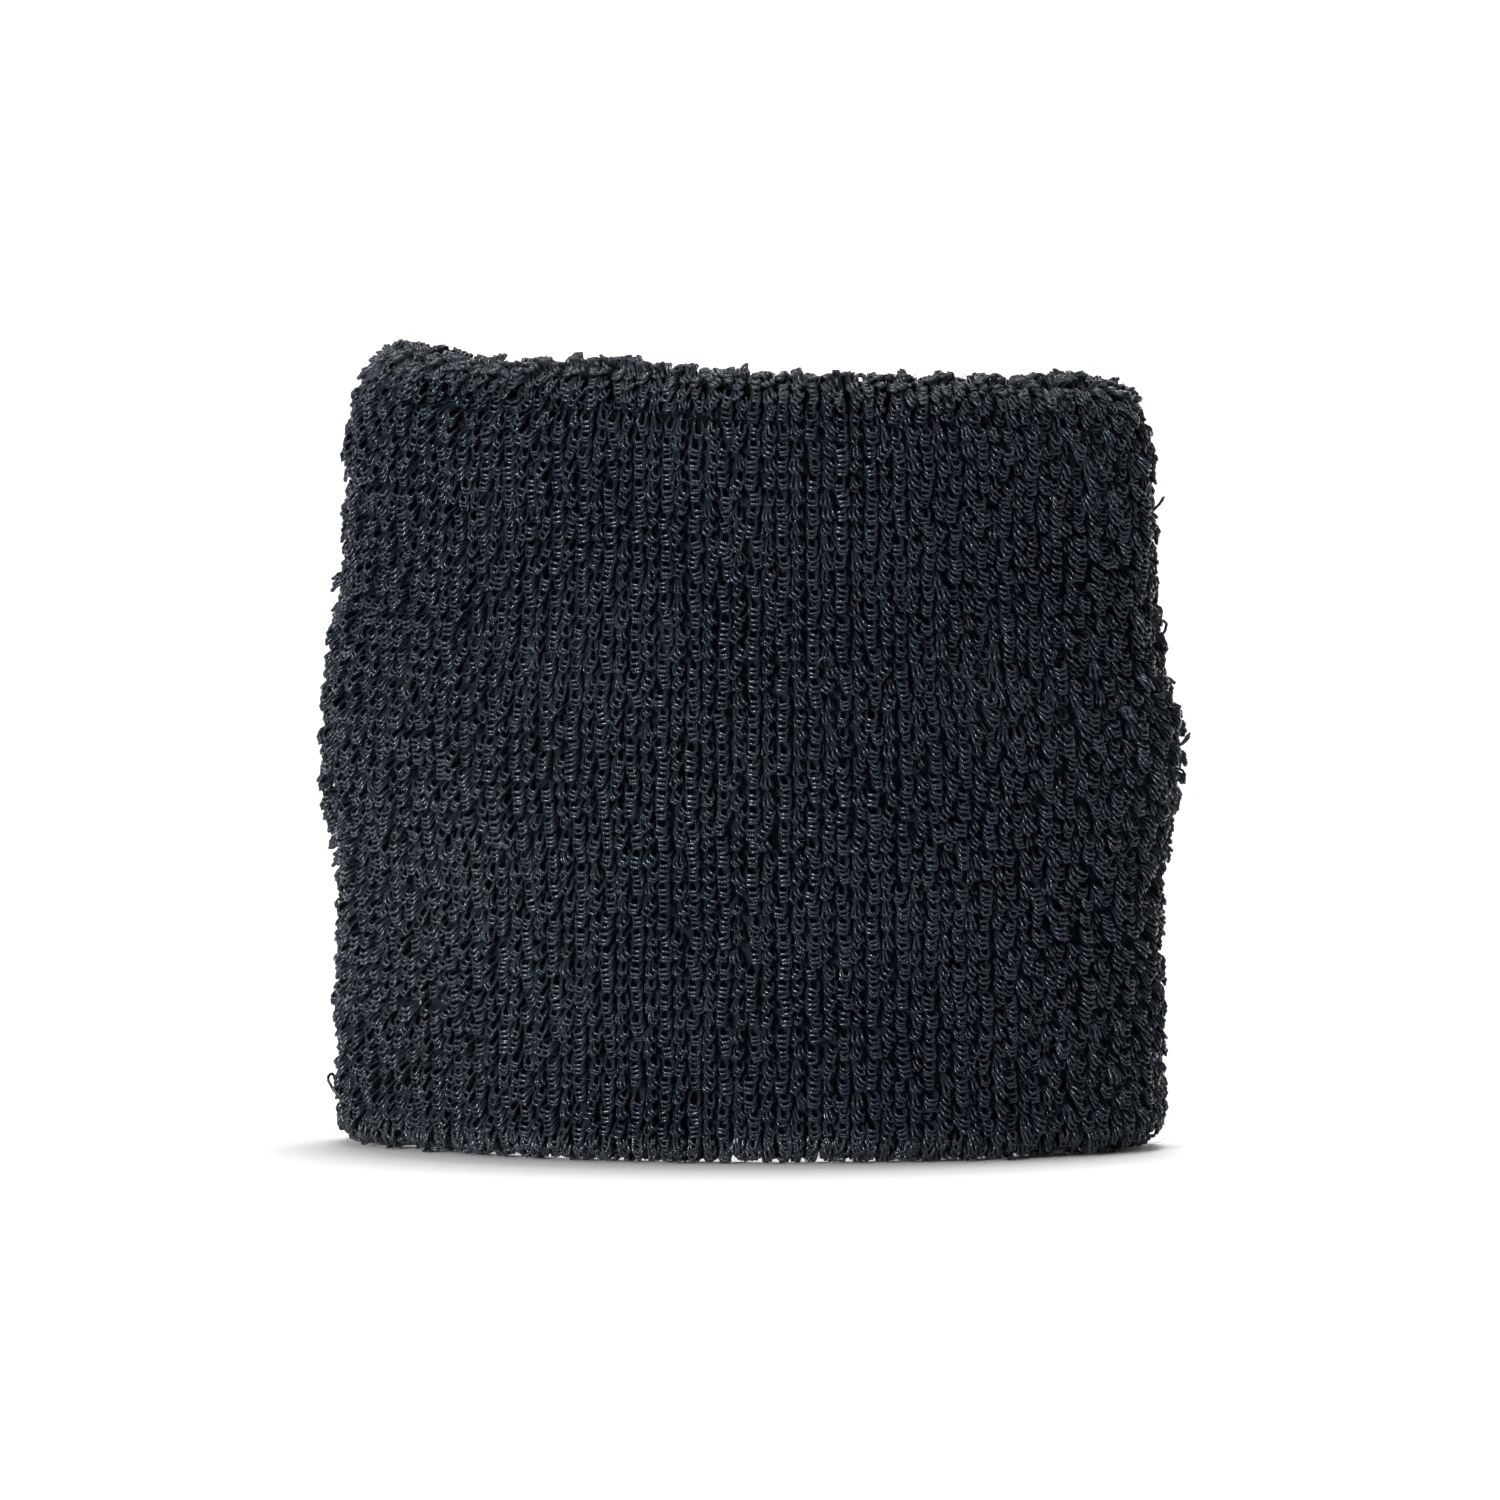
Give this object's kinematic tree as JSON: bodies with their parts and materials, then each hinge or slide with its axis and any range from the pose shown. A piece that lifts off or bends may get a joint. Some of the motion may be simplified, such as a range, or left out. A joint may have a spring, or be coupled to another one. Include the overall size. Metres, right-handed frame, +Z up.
{
  "type": "terry sweat wristband",
  "caption": "Terry knit tube folded double at both rims, closed inside by an overlocked seam, open through for the wrist.",
  "frame": {"origin": "middle of the base, where the bottom rim's crest meets the surface that the band stands on", "axes": "+X across the flattened oval from fold to fold, +Y through its depth from front to back, +Z up along the wrist's axis"},
  "size_m": [0.0818, 0.0548, 0.076],
  "materials": {
    "terry_pile": "soft black cotton loops with a faint bluish sheen",
    "ground_knit": "matt black ribbed knit",
    "elastic_yarn": "black covered elastic",
    "overlock_thread": "smooth spun black thread"
  },
  "bodies": {
    "root": {"outer_wall_pile": "terry_pile", "outer_wall_ground_knit": "ground_knit", "outer_wall_elastic_yarn": "elastic_yarn", "inner_upper_wall_pile": "terry_pile", "inner_upper_wall_ground_knit": "ground_knit", "inner_upper_wall_elastic_yarn": "elastic_yarn", "inner_lower_wall_pile": "terry_pile", "inner_lower_wall_ground_knit": "ground_knit", "inner_lower_wall_elastic_yarn": "elastic_yarn", "top_rim_pile": "terry_pile", "top_rim_ground_knit": "ground_knit", "top_rim_elastic_yarn": "elastic_yarn", "bottom_rim_pile": "terry_pile", "bottom_rim_ground_knit": "ground_knit", "bottom_rim_elastic_yarn": "elastic_yarn", "seam_lip_lower": "terry_pile", "seam_lip_upper": "terry_pile", "overlock_needle_thread": "overlock_thread", "overlock_upper_looper_thread": "overlock_thread", "overlock_lower_looper_thread": "overlock_thread"}
  },
  "joints": []
}
